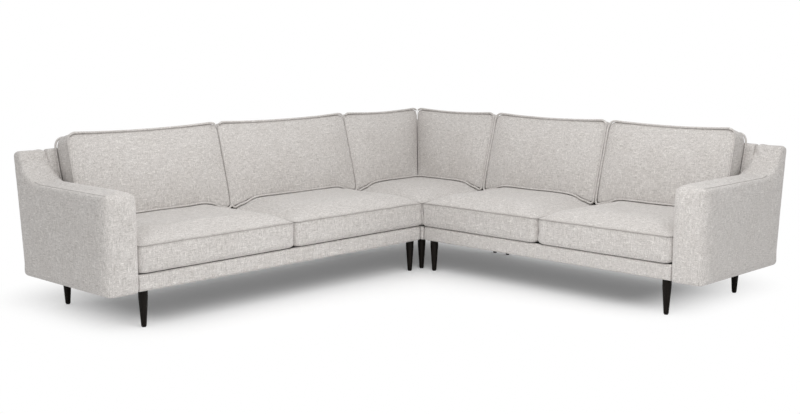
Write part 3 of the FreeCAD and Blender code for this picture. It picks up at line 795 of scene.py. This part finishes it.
def outer_skins(node):
    """The outside of each solid of a node, welded, without the hollows inside it."""
    mesh = bmesh.new()
    mesh.from_mesh(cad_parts[node].data)
    bmesh.ops.remove_doubles(mesh, verts=mesh.verts, dist=1e-5)
    mesh.verts.ensure_lookup_table()
    waiting = set(mesh.verts)
    skins = []
    while waiting:
        front = [waiting.pop()]
        island = set(front)
        while front:
            for edge in front.pop().link_edges:
                for vertex in edge.verts:
                    if vertex in waiting:
                        waiting.discard(vertex)
                        island.add(vertex)
                        front.append(vertex)
        faces = {face for vertex in island for face in vertex.link_faces}
        volume = sum(f.verts[0].co.dot(f.normal) * f.calc_area() / 3 for f in faces)
        if volume > 0:
            number = {v: i for i, v in enumerate(island)}
            points = [v.co.copy() for v in island]
            skins.append((points, [[number[v] for v in f.verts] for f in faces]))
    mesh.free()
    return skins


def rounded(corners, radii):
    """An outline of pairs with its corners rounded by arcs."""
    outline = []
    count = len(corners)
    for i, (corner, radius) in enumerate(zip(corners, radii)):
        here = Vector(corner)
        before = (Vector(corners[i - 1]) - here).normalized()
        after = (Vector(corners[(i + 1) % count]) - here).normalized()
        half = before.angle(after) / 2
        middle = here + (before + after).normalized() * radius / math.sin(half)
        start = here + before * radius / math.tan(half)
        end = here + after * radius / math.tan(half)
        steps = max(3, round(radius / 0.006))
        for step in range(steps + 1):
            ray = start.lerp(end, step / steps) - middle
            outline.append(middle + ray.normalized() * radius)
    return outline


def prism(name, run, corners, radii, start, length):
    outline = rounded(corners, radii)
    count = len(outline)
    points = [run.point(start, d, h) for d, h in outline]
    points += [run.point(start + length, d, h) for d, h in outline]
    faces = [[i, (i + 1) % count, (i + 1) % count + count, i + count] for i in range(count)]
    faces.append(list(range(count))[::-1])
    faces.append(list(range(count, 2 * count)))
    piece = new_piece(name, points, faces, FABRIC)
    mesh = bmesh.new()
    mesh.from_mesh(piece.data)
    bmesh.ops.recalc_face_normals(mesh, faces=mesh.faces)
    mesh.to_mesh(piece.data)
    mesh.free()
    return piece


def soften(piece, voxel, passes):
    """An even mesh with its hard edges eased, as padding under cloth eases them."""
    remesh = piece.modifiers.new("even", "REMESH")
    remesh.mode = "VOXEL"
    remesh.voxel_size = voxel
    smooth = piece.modifiers.new("ease", "SMOOTH")
    smooth.factor = 0.5
    smooth.iterations = passes
    apply_modifiers(piece)


def inside(point, low, high, give):
    """The point kept within a box, with some give on its free sides."""
    for axis in range(3):
        point[axis] = min(max(point[axis], low[axis] - give[0][axis]), high[axis] + give[1][axis])
    return point


# Strength of the shade painted into a sewn seam's groove
SEAM_PAINTED_SHADE = 0.4


def thread(piece, name, path, depth, width, radius, surface=None):
    """Sinks a seam into the cloth along a path, paints shade into the groove beside it and lays the thread
    in it.
    """
    surface = surface or surface_of(piece)
    path = [surface.find_nearest(p)[0] for p in smooth_path(path, False, 3)]
    tree = KDTree(len(path))
    for i, p in enumerate(path):
        tree.insert(p, i)
    tree.balance()
    mesh = piece.data
    shades = [0.0] * len(mesh.vertices)
    normals = [v.normal.copy() for v in mesh.vertices]
    for vertex, normal in zip(mesh.vertices, normals):
        gap = tree.find(vertex.co)[2]
        if gap < width:
            ease = (1 - gap / width) ** 2
            # Painted shade in the groove, held in the seam weight
            shades[vertex.index] = ease * SEAM_PAINTED_SHADE
            vertex.co -= normal * depth * ease
    mesh.attributes.new("seam", "FLOAT", "POINT").data.foreach_set("value", shades)
    surface = surface_of(piece)
    line = []
    for p in path:
        place, normal = surface.find_nearest(p)[:2]
        line.append(place + normal * radius * 0.6)
    # The thread is coloured dark as painted shade in the groove
    return tube(name, line, False, radius, THREAD_DARK_AS_SHADE)


# Arms

ARM_SWEEP = 0.174
REAR_BEVEL = 0.002
FATNESS = 0.0085
ROLL_WIDTH = 0.055
ROLL_DEPTH = 0.014
ROLL_RISE = 0.07
ROLL_END = 0.64
ROLL_FADE = 0.09
REAR_ROLL = 0.02
REAR_ROLL_WIDTH = 0.048
ARM_EDGE_ROUND = 0.022


def face_depth(height):
    thickness = BACK_BOXING + 0.008 + 2 * CLEAR
    return FOOT_DEPTH + thickness / math.cos(RAKE) + (height - FOOT_HEIGHT) * LEAN


SEAM_OFFSET = 0.013
SEAM_START = 0.655
SEAM_END = 0.028
SEAM_STEPS = 40


def arm_seam(run, wing):
    """The seam along an arm's outer top edge, from the knee of its sweep to the front."""
    middle = face_depth(ARM_TOP) - ARM_SWEEP * math.tan((math.pi / 2 - RAKE) / 2)
    path = []
    for step in range(SEAM_STEPS + 1):
        depth = SEAM_START + (SEAM_END - SEAM_START) * step / SEAM_STEPS
        past = max(depth - middle, 0)
        height = ARM_TOP + ARM_SWEEP - math.sqrt(ARM_SWEEP ** 2 - past ** 2)
        path.append(run.point(wing + ARM - SEAM_OFFSET, depth, height))
    return path


def fatten(piece, run, low, high):
    """Swells a form a little outwards and down, before its edges are eased."""
    across, through = (0, 1) if run.axis == "x" else (1, 0)
    for vertex in piece.data.vertices:
        place = vertex.co
        share = (place[through] - low[through]) / (high[through] - low[through])
        place[across] -= FATNESS * (high[across] - place[across]) / ARM
        place[through] += FATNESS * (2 * share - 1)
        place.z -= FATNESS * max(0, 1 - (place.z - BOTTOM) / 0.2)


def arm(side, run, wing, low, high):
    skins = outer_skins(side + "_arm_upholstery")
    piece = new_piece(side + "_arm_cloth", *skins[0], FABRIC)
    fatten(piece, run, low, high)
    soften(piece, 0.007, 3)
    axis = 0 if run.axis == "x" else 1
    inner = high[axis]
    held = [
        v.index
        for v in piece.data.vertices
        if v.co[axis] > inner - 0.004 or v.co.z < BOTTOM - FATNESS + 0.004
    ]
    return piece, held


def roll_inwards(piece, axis, inner):
    """Rounds an arm's top over towards the seat, and less where it sweeps up."""
    mesh = piece.data
    normals = [v.normal.copy() for v in mesh.vertices]
    for vertex, normal in zip(mesh.vertices, normals):
        gap = inner - vertex.co[axis]
        rise = (vertex.co.z - ARM_TOP + ROLL_RISE) / (ROLL_RISE / 2)
        ahead = (ROLL_END - vertex.co[1 - axis] + CORNER[1 - axis]) / ROLL_FADE
        level = min(max(ahead, 0), 1)
        width = REAR_ROLL_WIDTH + (ROLL_WIDTH - REAR_ROLL_WIDTH) * level
        if gap < width and rise > 0:
            normal[axis] = 0
            depth = (REAR_ROLL + (ROLL_DEPTH - REAR_ROLL) * level) * min(rise, 1)
            vertex.co -= normal * depth * (1 - max(gap, 0) / width) ** 2


def cover_body(parts, *nodes):
    """Upholstery that is fixed to the frame."""
    for part in parts:
        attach(part, "sofa_frame")
    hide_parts(*nodes)


def arms():
    made = []
    places = (
        ("left", LEFT_RUN, LEFT, LEFT_ARM_LOW, LEFT_ARM_HIGH),
        ("right", RIGHT_RUN, RIGHT, RIGHT_ARM_LOW, RIGHT_ARM_HIGH),
    )
    fillings = []
    for side, run, wing, low, high in places:
        piece, held = arm(side, run, wing, low, high)
        fillings.append((piece, held, 4, 0.005))
        made.append((side, run, wing, low, high, piece))
    return made, fillings


def finish_arm(side, run, wing, low, high, piece):
    give = (Vector((0.013, 0.013, FATNESS)), Vector((0.013, 0.013, 0.003)))
    axis = 0 if run.axis == "x" else 1
    give[1][axis] = 0
    for vertex in piece.data.vertices:
        vertex.co = inside(vertex.co, low, high, give)
    roll_inwards(piece, axis, high[axis])
    subdivide(piece)
    seam = thread(piece, side + "_arm_seam", arm_seam(run, wing), 0.002, 0.008, 0.0011)
    cover_body([piece, seam], side + "_arm_upholstery", side + "_arm_padding")


# Rails and backs

RAIL_PLUMP = 0.0016
RAIL_DROP = 0.0045


def front_rails():
    for side in ("left", "right", "corner"):
        node = side + "_front_upholstery"
        for number, skin in enumerate(outer_skins(node)):
            piece = new_piece("%s_rail_cloth_%d" % (side, number), *skin, FABRIC)
            soften(piece, 0.006, 2)
            for vertex in piece.data.vertices:
                rise = min(max((vertex.co.z - BOTTOM) / (RAIL_TOP - BOTTOM), 0), 1)
                vertex.co.z += RAIL_PLUMP * rise ** 2 - RAIL_DROP * (1 - rise) ** 2
            cover_body([piece], node)


BACK_RADII = (0.002, 0.02, 0.024, 0.012, 0.004, 0.002)


def back_outline():
    front = RAIL_BACK
    deck = DECK_TOP
    return [
        (front, BOTTOM),
        (REAR_FOOT, BOTTOM),
        (BACK_REACH + REAR_BEVEL, BACK_TOP),
        (face_depth(BACK_TOP), BACK_TOP),
        (face_depth(deck), deck),
        (front, deck),
    ]


def cut_mitre(piece, run):
    """Removes what lies beyond the corner unit's diagonal."""
    mesh = bmesh.new()
    mesh.from_mesh(piece.data)
    across = (run.point(0, 1) - run.point(1, 0)).normalized()
    near = run.point(0, CLEAR)
    everything = list(mesh.verts) + list(mesh.edges) + list(mesh.faces)
    cut = bmesh.ops.bisect_plane(mesh, geom=everything, plane_co=near, plane_no=across, clear_inner=True)
    edges = [e for e in cut["geom_cut"] if isinstance(e, bmesh.types.BMEdge)]
    bmesh.ops.edgeloop_fill(mesh, edges=edges)
    bmesh.ops.recalc_face_normals(mesh, faces=mesh.faces)
    mesh.to_mesh(piece.data)
    mesh.free()


def rear_seam(run, start, end, height):
    """A line level along the rear, just under the rounding of the top."""
    count = 24
    share = (height - BOTTOM) / (BACK_TOP - BOTTOM)
    depth = REAR_FOOT + (BACK_REACH + REAR_BEVEL - REAR_FOOT) * share
    return [run.point(start + (end - start) * i / count, depth, height) for i in range(count + 1)]


def backs():
    made = []
    # Beside the arms the cloth runs on over the rounding of their inner edges
    for side, run, wing in (("left", LEFT_RUN, LEFT), ("right", RIGHT_RUN, RIGHT)):
        length = wing - GAP + ARM_EDGE_ROUND
        piece = prism(side + "_back_cloth", run, back_outline(), BACK_RADII, GAP, length)
        made.append((piece, run, GAP, wing, [side + "_back_upholstery"]))
    for label, run in (("corner_left", CORNER_RUN), ("corner_right", CORNER_SIDE_RUN)):
        piece = prism(label + "_back_body_cloth", run, back_outline(), BACK_RADII, GAP, BACK_REACH)
        cut_mitre(piece, run)
        made.append((piece, run, GAP, REAR_FOOT, ["corner_back_upholstery"]))
    for piece, run, start, end, nodes in made:
        soften(piece, 0.012, 2)
        subdivide(piece)
        path = rear_seam(run, start + 0.004, end - 0.004, BACK_TOP - 0.03)
        seam = thread(piece, piece.name.replace("cloth", "seam"), path, 0.0015, 0.009, 0.0009)
        cover_body([piece, seam], *nodes)


# Cloths and straps under the seats

def decks():
    for side in ("left", "right", "corner"):
        node = side + "_deck"
        low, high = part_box(node)
        nx, ny = (max(8, round((high[a] - low[a]) / 0.03)) for a in range(2))
        piece = slab(side + "_deck_cloth", low, high, nx, ny, DECK_CLOTH)
        for vertex in piece.data.vertices:
            edge = min(vertex.co.x - low.x, high.x - vertex.co.x, vertex.co.y - low.y, high.y - vertex.co.y)
            if vertex.co.z > (low.z + high.z) / 2:
                vertex.co.z -= 0.0012 * (1 - min(edge / 0.05, 1)) + 0.0005 * (1 + ripple(vertex.co, 0.12, 5))
        subdivide(piece)
        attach(piece, "sofa_frame")
        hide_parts(node)


def slab(name, low, high, nx, ny, material):
    """A thin closed pad as a grid."""
    points = []
    faces = []
    size = high - low
    for level in (low.z, high.z):
        for i in range(nx + 1):
            for j in range(ny + 1):
                points.append(Vector((low.x + size.x * i / nx, low.y + size.y * j / ny, level)))
    layer = (nx + 1) * (ny + 1)

    def at(i, j, top):
        return top * layer + i * (ny + 1) + j

    for i in range(nx):
        for j in range(ny):
            faces.append((at(i, j, 0), at(i, j + 1, 0), at(i + 1, j + 1, 0), at(i + 1, j, 0)))
            faces.append((at(i, j, 1), at(i + 1, j, 1), at(i + 1, j + 1, 1), at(i, j + 1, 1)))
    rim = [(i, 0) for i in range(nx)] + [(nx, j) for j in range(ny)]
    rim += [(i, ny) for i in range(nx, 0, -1)] + [(0, j) for j in range(ny, 0, -1)]
    for a, b in zip(rim, rim[1:] + rim[:1]):
        faces.append((at(*a, 0), at(*b, 0), at(*b, 1), at(*a, 1)))
    return new_piece(name, points, faces, material)


def straps():
    """Each strap of webbing as a band of its own."""
    for number, (points, faces) in enumerate(outer_skins("seat_webbing")):
        low = Vector(min(p[a] for p in points) for a in range(3))
        high = Vector(max(p[a] for p in points) for a in range(3))
        nx, ny = (max(4, round((high[a] - low[a]) / 0.03)) for a in range(2))
        piece = slab("webbing_strap_%02d" % number, low, high, nx, ny, WEBBING)
        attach(piece, "sofa_frame")
        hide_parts("seat_webbing")


DUST_SAG = 0.005


def dust_covers():
    """Thin cloth stapled under each unit, hanging a little between its edges."""
    for number, (points, faces) in enumerate(outer_skins("dust_covers")):
        low = Vector(min(p[a] for p in points) for a in range(3))
        high = Vector(max(p[a] for p in points) for a in range(3))
        nx, ny = (round((high[a] - low[a]) / 0.03) for a in range(2))
        piece = slab("dust_cover_%d" % number, low, high, nx, ny, LINING)
        for vertex in piece.data.vertices:
            turns = [math.pi * (vertex.co[a] - low[a]) / (high[a] - low[a]) for a in range(2)]
            belly = max(math.sin(turns[0]) * math.sin(turns[1]), 0) ** 0.5
            vertex.co.z -= DUST_SAG * belly * (1 + 0.3 * ripple(vertex.co, 0.2, number))
        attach(piece, "sofa_frame")
        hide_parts("dust_covers")


# Finishes of the rigid parts

def finishes():
    timber = [
        "left_front_rail", "left_back_rail", "left_side_rails", "right_front_rail", "right_back_rail",
        "right_side_rails", "corner_front_rails", "corner_back_rails", "corner_blocks",
        "left_back_posts", "right_back_posts", "corner_back_posts", "left_top_rail", "right_top_rail",
        "corner_top_rails", "left_arm_panels", "right_arm_panels",
    ]
    plan = [(TIMBER, timber), (LACQUER, ["legs"]), (PLASTIC, ["leg_glides"])]
    plan.append((STEEL, ["leg_bolts", "module_plates"]))
    for material, nodes in plan:
        for node in nodes:
            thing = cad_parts[node]
            thing.data.materials.clear()
            thing.data.materials.append(material)


# Floor, light and camera

def vector_maths(nodes, links, operation, first, second):
    node = nodes.new("ShaderNodeVectorMath")
    node.operation = operation
    links.new(first, node.inputs[0])
    node.inputs[1].default_value = second
    return node


def block_distance(nodes, links, where, low, high):
    """Distance on the floor from an upright block between two places."""
    middle = [(a + b) / 2 for a, b in zip(low, high)]
    half = [(b - a) / 2 for a, b in zip(low, high)]
    offset = vector_maths(nodes, links, "SUBTRACT", where, (*middle, 0)).outputs[0]
    size = vector_maths(nodes, links, "ABSOLUTE", offset, (0, 0, 0)).outputs[0]
    past = vector_maths(nodes, links, "SUBTRACT", size, (*half, 0)).outputs[0]
    outside = vector_maths(nodes, links, "MAXIMUM", past, (0, 0, 0)).outputs[0]
    return vector_maths(nodes, links, "LENGTH", outside, (0, 0, 0)).outputs["Value"]


# Painted light on the floor: for the camera, white is mixed over the floor's shadow, a little under the sofa
# and more towards and past its arms
FLOOR_PAINTED_WHITE = 0.14
FADE_REACH = 0.6
LEFT_PAINTED_LIGHT_REACH = 0.45
RIGHT_PAINTED_LIGHT_REACH = 0.6


def floor_material():
    """Pale and matt, with white painted over it for the camera: a share of it under the sofa, more under the
    arms and all of it further away, lightening the sofa's shadow.
    """
    material, nodes, links, shader = new_material("pale_floor")
    shader.inputs["Base Color"].default_value = (0.93, 0.93, 0.93, 1)
    shader.inputs["Roughness"].default_value = 1.0
    shader.inputs["Specular IOR Level"].default_value = 0.0
    where = nodes.new("ShaderNodeTexCoord").outputs["Object"]
    # Painted light: the shadow is kept mostly between the arms, and white is painted over it under the arms
    # and round the sofa
    rear = (CORNER.x + BACK_REACH, CORNER.y + BACK_REACH)
    left = block_distance(nodes, links, where, (LEFT_ARM_LOW.x + LEFT_PAINTED_LIGHT_REACH, CORNER.y), rear)
    right = block_distance(nodes, links, where, (CORNER.x, RIGHT_ARM_LOW.y + RIGHT_PAINTED_LIGHT_REACH), rear)
    fade = nodes.new("ShaderNodeMapRange")
    fade.interpolation_type = "SMOOTHSTEP"
    fade.inputs["From Max"].default_value = FADE_REACH
    fade.inputs["To Min"].default_value = FLOOR_PAINTED_WHITE
    links.new(maths(nodes, links, "MINIMUM", left, right), fade.inputs["Value"])
    rays = nodes.new("ShaderNodeLightPath")
    share = maths(nodes, links, "MULTIPLY", fade.outputs[0], rays.outputs["Is Camera Ray"])
    white = nodes.new("ShaderNodeEmission")
    white.inputs["Color"].default_value = (1, 1, 1, 1)
    mix = nodes.new("ShaderNodeMixShader")
    links.new(share, mix.inputs["Fac"])
    links.new(shader.outputs[0], mix.inputs[1])
    links.new(white.outputs[0], mix.inputs[2])
    output = [n for n in nodes if n.type == "OUTPUT_MATERIAL"][0]
    links.new(mix.outputs[0], output.inputs[0])
    return material


def stage():
    bpy.context.scene.view_settings.view_transform = "Standard"
    material = floor_material()
    reach = 14
    corners = [(-reach, -reach, 0), (reach, -reach, 0), (reach, reach, 0), (-reach, reach, 0)]
    floor = new_piece("floor", corners, [(0, 1, 2, 3)], material)

    world = bpy.data.worlds.new("studio")
    bpy.context.scene.world = world
    world.use_nodes = True
    tree = world.node_tree
    tree.nodes.clear()
    output = tree.nodes.new("ShaderNodeOutputWorld")
    mix = tree.nodes.new("ShaderNodeMixShader")
    soft = tree.nodes.new("ShaderNodeBackground")
    white = tree.nodes.new("ShaderNodeBackground")
    rays = tree.nodes.new("ShaderNodeLightPath")
    soft.inputs["Color"].default_value = (1, 1, 1, 1)
    soft.inputs["Strength"].default_value = SKY
    seen = tree.nodes.new("ShaderNodeMath")
    seen.operation = "MAXIMUM"
    tree.links.new(rays.outputs["Is Camera Ray"], seen.inputs[0])
    tree.links.new(rays.outputs["Is Glossy Ray"], seen.inputs[1])
    tree.links.new(seen.outputs[0], mix.inputs["Fac"])
    tree.links.new(soft.outputs[0], mix.inputs[1])
    tree.links.new(white.outputs[0], mix.inputs[2])
    white.inputs["Color"].default_value = (1, 1, 1, 1)
    tree.links.new(mix.outputs[0], output.inputs[0])


def lamp(name, place, target, width, height, power):
    light = bpy.data.lights.new(name, "AREA")
    light.shape = "RECTANGLE"
    light.size = width
    light.size_y = height
    light.energy = power
    thing = bpy.data.objects.new(name, light)
    thing.location = place
    thing.rotation_euler = (Vector(target) - Vector(place)).to_track_quat("-Z", "Y").to_euler()
    bpy.context.scene.collection.objects.link(thing)


SKY = 0.73


def lights():
    lamp("overhead", (-0.7, -0.9, 3.2), (0.0, 0.2, 0.3), 3.0, 3.0, 42)
    lamp("front", (-1.1, -1.65, 2.1), (0.35, 0.3, 0.4), 1.4, 1.4, 19)


def camera():
    heading = math.radians(43.937)
    pitch = math.radians(8.5955)
    level = math.cos(pitch)
    ahead = Vector((math.cos(heading) * level, math.sin(heading) * level, -math.sin(pitch)))
    lens = bpy.data.cameras.new("camera")
    lens.lens = 53.71
    lens.sensor_width = 36
    thing = bpy.data.objects.new("camera", lens)
    thing.location = (-4.4033, -4.1817, 1.4188)
    thing.rotation_euler = ahead.to_track_quat("-Z", "Y").to_euler()
    bpy.context.scene.collection.objects.link(thing)
    bpy.context.scene.camera = thing


# The sofa

# Corner radii go round from the low corner; they are tight at the sofa's inner corner
TIGHT = 0.003
ROUND = 0.034
ALL_ROUND = (ROUND, ROUND, ROUND, ROUND)
# The seats are filled further back where the back cushions stand on them
FULL_LEFT = (FULL, FULL, FRONT_FULL, REAR_FULL)
FULL_CORNER = (FULL, REAR_FULL, FULL, REAR_FULL)
FULL_RIGHT = (FRONT_FULL, REAR_FULL, FULL, FULL)
SEATS = (
    ("left_outer", 1, -LEFT, -LEFT / 2, 0, SEAT_DEPTH, ALL_ROUND, FULL_LEFT),
    ("left_inner", 2, -LEFT / 2, 0, 0, SEAT_DEPTH, (ROUND, TIGHT, ROUND, ROUND), FULL_LEFT),
    ("corner", 3, 0, SEAT_DEPTH, 0, SEAT_DEPTH, (TIGHT, ROUND, ROUND, ROUND), FULL_CORNER),
    ("right_inner", 4, 0, SEAT_DEPTH, -RIGHT / 2, 0, (ROUND, ROUND, ROUND, TIGHT), FULL_RIGHT),
    ("right_outer", 5, 0, SEAT_DEPTH, -RIGHT, -RIGHT / 2, ALL_ROUND, FULL_RIGHT),
)
CORNER_WIDE = FOOT_DEPTH + BACK_RISE * math.sin(RAKE)
FOOT = 0.026
TOP = 0.044
NOTCH = 0.05
OUTER_TOP = 0.054
TAPER = 0.008
STRAIGHT = (FOOT, FOOT, TOP, TOP)
MITRED_HIGH = (FOOT, TIGHT, NOTCH, TOP)
MITRED_LOW = (TIGHT, FOOT, TOP, NOTCH)
OUTER_LOW = (FOOT, FOOT, TOP, OUTER_TOP)
OUTER_HIGH = (FOOT, FOOT, OUTER_TOP, TOP)
LEFT_SPAN = (LEFT / 2, LEFT_END)
LEFT_TOP_SPAN = (LEFT / 2, LEFT_END - TAPER)
RIGHT_SPAN = (RIGHT / 2, RIGHT_END)
RIGHT_TOP_SPAN = (RIGHT / 2, RIGHT_END - TAPER)
BACKS = (
    ("left_outer", 6, LEFT_RUN, LEFT_SPAN, LEFT_TOP_SPAN, OUTER_LOW, ("outer", "soft")),
    ("left_inner", 7, LEFT_RUN, (0, LEFT / 2), (0, LEFT / 2), STRAIGHT, ("soft", "soft")),
    ("corner_left", 8, CORNER_RUN, (0, FOOT_DEPTH), (0, CORNER_WIDE), MITRED_HIGH, ("soft", "soft")),
    ("corner_right", 9, CORNER_SIDE_RUN, (0, FOOT_DEPTH), (0, CORNER_WIDE), MITRED_LOW, ("soft", "plain")),
    ("right_inner", 10, RIGHT_RUN, (0, RIGHT / 2), (0, RIGHT / 2), STRAIGHT, ("plain", "plain")),
    ("right_outer", 11, RIGHT_RUN, RIGHT_SPAN, RIGHT_TOP_SPAN, OUTER_HIGH, ("plain", "outer")),
)


def main():
    made_arms, arm_fillings = arms()
    seats = [seat_cushion(*row) for row in SEATS]
    rear = [back_cushion(*row) for row in BACKS]
    fillings = [(c.piece, c.held(), 4, c.cap) for c in seats + rear]
    fill_pieces(arm_fillings + fillings)
    for row in made_arms:
        finish_arm(*row)
    for cushion, row in zip(seats, SEATS):
        label = row[0]
        nodes = ["%s_seat_%s" % (label, part) for part in ("cover", "filling")]
        cushion.finish(label + "_seat_cushion", 0.75, *nodes)
    surface = join_surfaces([c.piece for c in seats])
    for cushion, row in zip(rear, BACKS):
        label = row[0]
        cushion.seats = surface
        nodes = ["%s_back_%s" % (label, part) for part in ("cover", "filling")]
        cushion.finish(label + "_back_cushion", 0.6, *nodes)
    front_rails()
    backs()
    decks()
    straps()
    dust_covers()
    finishes()
    stage()
    lights()
    camera()


def join_surfaces(pieces):
    points = []
    faces = []
    for piece in pieces:
        first = len(points)
        points += [v.co.copy() for v in piece.data.vertices]
        faces += [[first + i for i in p.vertices] for p in piece.data.polygons]
    return BVHTree.FromPolygons(points, faces)


main()
